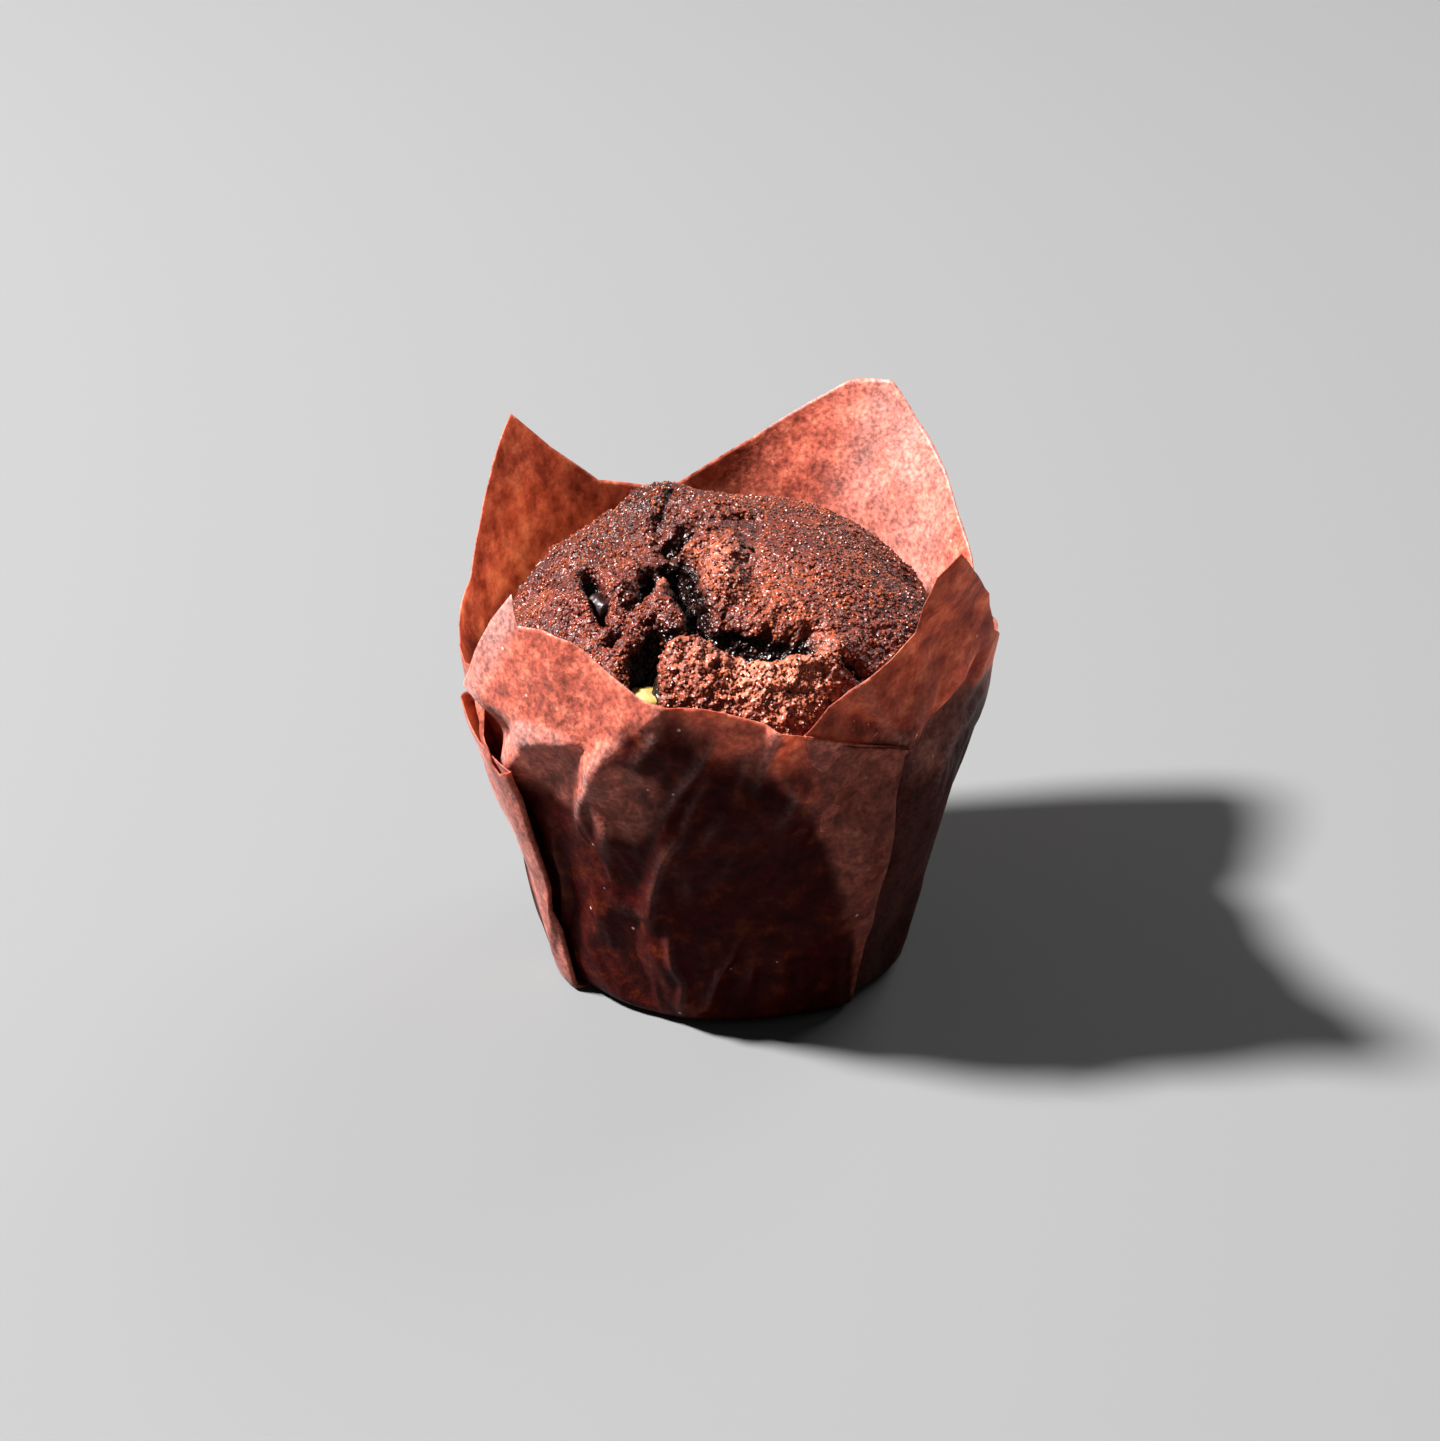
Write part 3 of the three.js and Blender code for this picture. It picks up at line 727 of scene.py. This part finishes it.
# Baked chocolate crumb: red-brown, open and grainy, with a thin sugar crust that glints, and
# moist and shiny inside the cracks, where a painted shade darkens it to nearly black, the deeper
# the darker.
crumb_material, tree = node_tree("baked_chocolate_crumb_sugar_crust")
place = add(tree, "ShaderNodeTexCoord").outputs["Object"]
depth = add(tree, "ShaderNodeAttribute", attribute_name="depth")
patch = add(tree, "ShaderNodeTexNoise", {"Vector": place},
            inputs={"Scale": 110.0, "Detail": 5.0, "Roughness": 0.6})
grain = add(tree, "ShaderNodeTexNoise", {"Vector": place},
            inputs={"Scale": 1200.0, "Detail": 3.0, "Roughness": 0.65})
tone = add(tree, "ShaderNodeValToRGB", {"Fac": patch.outputs["Fac"]}, stops=(
    (0.32, linear("#3d140d")), (0.5, linear("#551e12")), (0.66, linear("#6e2e17"))))
grain_tone = add(tree, "ShaderNodeValToRGB", {"Fac": grain.outputs["Fac"]}, stops=(
    (0.38, grey(0.45)), (0.5, grey(1.0)), (0.64, grey(1.5))))
toned = add(tree, "ShaderNodeMix", {6: tone.outputs[0], 7: grain_tone.outputs[0]}, data_type="RGBA",
            blend_type="MULTIPLY", inputs={0: 1.0})
sinking = add(tree, "ShaderNodeMapRange", {"Value": depth.outputs["Fac"]},
              inputs={"From Min": 0.12, "From Max": 0.42})
back_left_darkening_in = add(tree, "ShaderNodeAttribute", attribute_name="scorch")
baked_tone = add(tree, "ShaderNodeMix", {0: back_left_darkening_in.outputs["Fac"], 6: toned.outputs[2]},
                 data_type="RGBA", inputs={7: linear("#260d0a")})
# Paler where torn, partly painted light and highlight.
torn_and_highlight_in = add(tree, "ShaderNodeAttribute", attribute_name="torn")
torn_and_highlight_tone = add(tree, "ShaderNodeMix", {6: grain_tone.outputs[0]}, data_type="RGBA",
                blend_type="MULTIPLY", inputs={0: 1.0, 7: linear("#a05741")})
opened = add(tree, "ShaderNodeMix",
             {0: torn_and_highlight_in.outputs["Fac"], 6: baked_tone.outputs[2], 7: torn_and_highlight_tone.outputs[2]},
             data_type="RGBA")
# Painted shade: nearly black deep in the cracks.
sunk = add(tree, "ShaderNodeMix", {0: sinking.outputs[0], 6: opened.outputs[2]}, data_type="RGBA",
           inputs={7: linear("#120504")})
crust_shine = add(tree, "ShaderNodeMapRange", {"Value": grain.outputs["Fac"]},
                  inputs={"From Min": 0.4, "From Max": 0.6, "To Min": 0.6, "To Max": 0.26})
pits = add(tree, "ShaderNodeTexNoise", {"Vector": place},
           inputs={"Scale": 1300.0, "Detail": 1.0, "Roughness": 0.5})
bump = add(tree, "ShaderNodeBump", {"Height": pits.outputs["Fac"]},
           inputs={"Strength": 1.0, "Distance": 0.0010})
crust_body = add(tree, "ShaderNodeBsdfPrincipled",
                 {"Base Color": sunk.outputs[2], "Roughness": crust_shine.outputs[0],
                  "Normal": bump.outputs[0]},
                 inputs={"IOR": 1.5, "Specular IOR Level": 0.32})
moist_body = add(tree, "ShaderNodeBsdfPrincipled",
                 {"Base Color": sunk.outputs[2], "Normal": bump.outputs[0]},
                 inputs={"Roughness": 0.3, "IOR": 1.5, "Specular IOR Level": 0.25})
body = add(tree, "ShaderNodeMixShader",
           {0: sinking.outputs[0], 1: crust_body.outputs[0], 2: moist_body.outputs[0]})
add(tree, "ShaderNodeOutputMaterial", {"Surface": body.outputs[0]})
dense.materials.clear()
dense.materials.append(crumb_material)
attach(crumb, "root")
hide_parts("muffin_crumb")


# ---- The chocolate ----
# Broken pieces of chocolate that were stirred into the batter: one of white chocolate at the
# bottom of the front left crack, and dark ones that melted and set again, rounded and glossy.
# Each piece as (slot, size, middle, turn).
chunks = {
    "white_chocolate_chunk": ("white_chocolate", (7.0, 5.0, 6.6), (-10.4, -26.4, 47.6), (0.2, 0.2, 0.5)),
    "dark_chocolate_chunk_left": (
        "dark_chocolate", (5.5, 4.5, 4.5), (-15.9, -13.6, 55.4), (0.3, 0.5, 0.9)),
    "dark_chocolate_chunk_front": (
        "dark_chocolate", (8.0, 5.5, 5.0), (5.6, -24.4, 50.6), (0.45, 0.1, 0.15)),
}
# How square a piece is: 1 would be an ellipsoid, and 0 a box.
SQUARENESS = 0.55


def chocolate(name, cloud_scale, tones, dents, roughness, level):
    """Cast or melted chocolate: fine cloudy tones, shallow dents and an even shine."""
    material, tree = node_tree(name)
    place = add(tree, "ShaderNodeTexCoord").outputs["Object"]
    cloud = add(tree, "ShaderNodeTexNoise", {"Vector": place},
                inputs={"Scale": cloud_scale, "Detail": 3.0})
    tone = add(tree, "ShaderNodeValToRGB", {"Fac": cloud.outputs["Fac"]}, stops=(
        (0.35, linear(tones[0])), (0.65, linear(tones[1]))))
    bump = add(tree, "ShaderNodeBump", {"Height": cloud.outputs["Fac"]},
               inputs={"Strength": dents[0], "Distance": dents[1]})
    body = add(tree, "ShaderNodeBsdfPrincipled",
               {"Base Color": tone.outputs[0], "Normal": bump.outputs[0]},
               inputs={"Roughness": roughness, "IOR": 1.46, "Specular IOR Level": level})
    add(tree, "ShaderNodeOutputMaterial", {"Surface": body.outputs[0]})
    return material


coats = {
    "white_chocolate": chocolate(
        "white_chocolate_cast_satin", 500.0, ("#98803f", "#b8a068"), (0.3, 0.0003), 0.4, 0.5),
    "dark_chocolate": chocolate(
        "dark_chocolate_melted_glossy", 700.0, ("#0f0606", "#241010"), (0.4, 0.0004), 0.36, 0.22),
}
for name, (slot, size, at, turn) in chunks.items():
    block = bmesh.new()
    bmesh.ops.create_icosphere(block, subdivisions=5, radius=1.0)
    spin = Euler(turn).to_matrix()
    for v in block.verts:
        squared = Vector([math.copysign(abs(c) ** SQUARENESS, c) * s / 2 for c, s in zip(v.co, size)])
        dent = noise.noise(squared / 1.8 + Vector(at)) * 0.35 + noise.noise(squared / 0.7) * 0.08
        v.co = (spin @ (squared - squared.normalized() * (abs(dent) + 0.05)) + Vector(at)) * MM
    mesh = bpy.data.meshes.new(name + "_set")
    block.to_mesh(mesh)
    block.free()
    mesh.shade_smooth()
    mesh.materials.append(coats[slot])
    piece = bpy.data.objects.new(name + "_set", mesh)
    bpy.context.collection.objects.link(piece)
    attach(piece, "root")
    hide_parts(name)


# ---- The sugar grains ----
# Coarse sugar and crumbs that lie half sunk all over the crown's crust. Each is a small faceted
# ball, thrown over the crust by density, and they are baked on.
GRAIN_RADII = (0.12, 0.30)
GRAINS_PER_MM2 = 2.0
GRAIN_LOW = 46.0
GRAIN_SEED = 7
sugar, tree = node_tree("sugar_grain_caramelised_glossy")
place = add(tree, "ShaderNodeTexCoord").outputs["Object"]
patch = add(tree, "ShaderNodeTexNoise", {"Vector": place}, inputs={"Scale": 900.0, "Detail": 2.0})
tone = add(tree, "ShaderNodeValToRGB", {"Fac": patch.outputs["Fac"]}, stops=(
    (0.36, linear("#2b0e09")), (0.5, linear("#5c2415")), (0.66, linear("#8c4829"))))
body = add(tree, "ShaderNodeBsdfPrincipled", {"Base Color": tone.outputs[0]},
           inputs={"Roughness": 0.36, "IOR": 1.5, "Specular IOR Level": 0.28})
add(tree, "ShaderNodeOutputMaterial", {"Surface": body.outputs[0]})

settings = {"Density": GRAINS_PER_MM2 / MM ** 2, "Smallest radius": GRAIN_RADII[0] * MM,
            "Largest radius": GRAIN_RADII[1] * MM, "Lowest height": GRAIN_LOW * MM, "Seed": GRAIN_SEED}
scatter = bpy.data.node_groups.new("grains_on_crust", "GeometryNodeTree")
scatter.interface.new_socket("Crust", in_out="INPUT", socket_type="NodeSocketGeometry")
for name in settings:
    kind = "NodeSocketInt" if name == "Seed" else "NodeSocketFloat"
    scatter.interface.new_socket(name, in_out="INPUT", socket_type=kind)
scatter.interface.new_socket("Grains", in_out="OUTPUT", socket_type="NodeSocketGeometry")
given = add(scatter, "NodeGroupInput").outputs
where = add(scatter, "GeometryNodeInputPosition")
up = add(scatter, "ShaderNodeSeparateXYZ", {0: where.outputs[0]})
high = add(scatter, "FunctionNodeCompare", {0: up.outputs["Z"], 1: given["Lowest height"]},
           data_type="FLOAT", operation="GREATER_THAN")
sunk_in = add(scatter, "GeometryNodeInputNamedAttribute", inputs={"Name": "depth"})
shallow = add(scatter, "ShaderNodeMapRange", {"Value": sunk_in.outputs[0]},
              inputs={"From Min": 0.06, "From Max": 0.2, "To Min": 1.0, "To Max": 0.08})
density = add(scatter, "ShaderNodeMath", {0: given["Density"], 1: shallow.outputs[0]},
              operation="MULTIPLY")
points = add(scatter, "GeometryNodeDistributePointsOnFaces", {
    "Mesh": given["Crust"], "Selection": high.outputs[0], "Density": density.outputs[0],
    "Seed": given["Seed"]})
ball = add(scatter, "GeometryNodeMeshIcoSphere", inputs={"Radius": 1.0, "Subdivisions": 1})
size = add(scatter, "FunctionNodeRandomValue", {
    "Min": given["Smallest radius"], "Max": given["Largest radius"], "Seed": given["Seed"]},
           data_type="FLOAT")
turn = add(scatter, "FunctionNodeRandomValue", {"Seed": given["Seed"]}, data_type="FLOAT_VECTOR",
           inputs={1: (math.tau, math.tau, math.tau)})
placed = add(scatter, "GeometryNodeInstanceOnPoints", {
    "Points": points.outputs[0], "Instance": ball.outputs[0], "Scale": size.outputs[1],
    "Rotation": turn.outputs[0]})
real = add(scatter, "GeometryNodeRealizeInstances", {0: placed.outputs[0]})
coated = add(scatter, "GeometryNodeSetMaterial", {"Geometry": real.outputs[0]},
             inputs={"Material": sugar})
add(scatter, "NodeGroupOutput", {0: coated.outputs[0]})
carrier = bpy.data.objects.new("grain_carrier", dense.copy())
bpy.context.collection.objects.link(carrier)
throw = carrier.modifiers.new("grains", "NODES")
throw.node_group = scatter
for item in scatter.interface.items_tree:
    if item.name in settings:
        throw[item.identifier] = settings[item.name]
grain_mesh = evaluated_mesh(carrier)
bpy.data.objects.remove(carrier)
grain_mesh.shade_flat()
grains_piece = bpy.data.objects.new("crown_sugar_grains", grain_mesh)
bpy.context.collection.objects.link(grains_piece)
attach(grains_piece, "root")


# ---- Floor and light ----
# A pale sheet of card, a key light from the upper left, a weak broad light from behind on the
# right that lifts the shadow, and a faint fill all round.
bpy.ops.mesh.primitive_plane_add(size=6.0, location=(0, 0, 0))
floor = bpy.context.object
floor.name = "floor"
card, tree = node_tree("pale_card")
body = add(tree, "ShaderNodeBsdfPrincipled", inputs={
    "Base Color": linear("#626262"), "Roughness": 0.9, "Specular IOR Level": 0.2})
add(tree, "ShaderNodeOutputMaterial", {"Surface": body.outputs[0]})
floor.data.materials.append(card)
floor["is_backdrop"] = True

# Lights as name: (azimuth, elevation, distance, diameter, power).
lights = {
    "key": (180, 50, 2.0, 0.30, 237.0),
    "back_fill": (50, 35, 1.5, 0.9, 13.0),
}
for name, (azimuth, elevation, distance, size, power) in lights.items():
    lamp_data = bpy.data.lights.new(name, "AREA")
    lamp_data.shape = "DISK"
    lamp_data.size = size
    lamp_data.energy = power
    lamp = bpy.data.objects.new(name, lamp_data)
    bpy.context.collection.objects.link(lamp)
    azimuth, elevation = math.radians(azimuth), math.radians(elevation)
    towards = Vector((math.cos(azimuth) * math.cos(elevation), math.sin(azimuth) * math.cos(elevation),
                      math.sin(elevation)))
    lamp.location = Vector((0, 0, 0.045)) + towards * distance
    lamp.rotation_euler = towards.to_track_quat("Z", "Y").to_euler()
world = bpy.data.worlds.new("soft_studio")
bpy.context.scene.world = world
world.use_nodes = True
world.node_tree.nodes["Background"].inputs["Color"].default_value = (1, 1, 1, 1)
world.node_tree.nodes["Background"].inputs["Strength"].default_value = 0.09
bpy.context.scene.view_settings.view_transform = "Standard"

low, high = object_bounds()
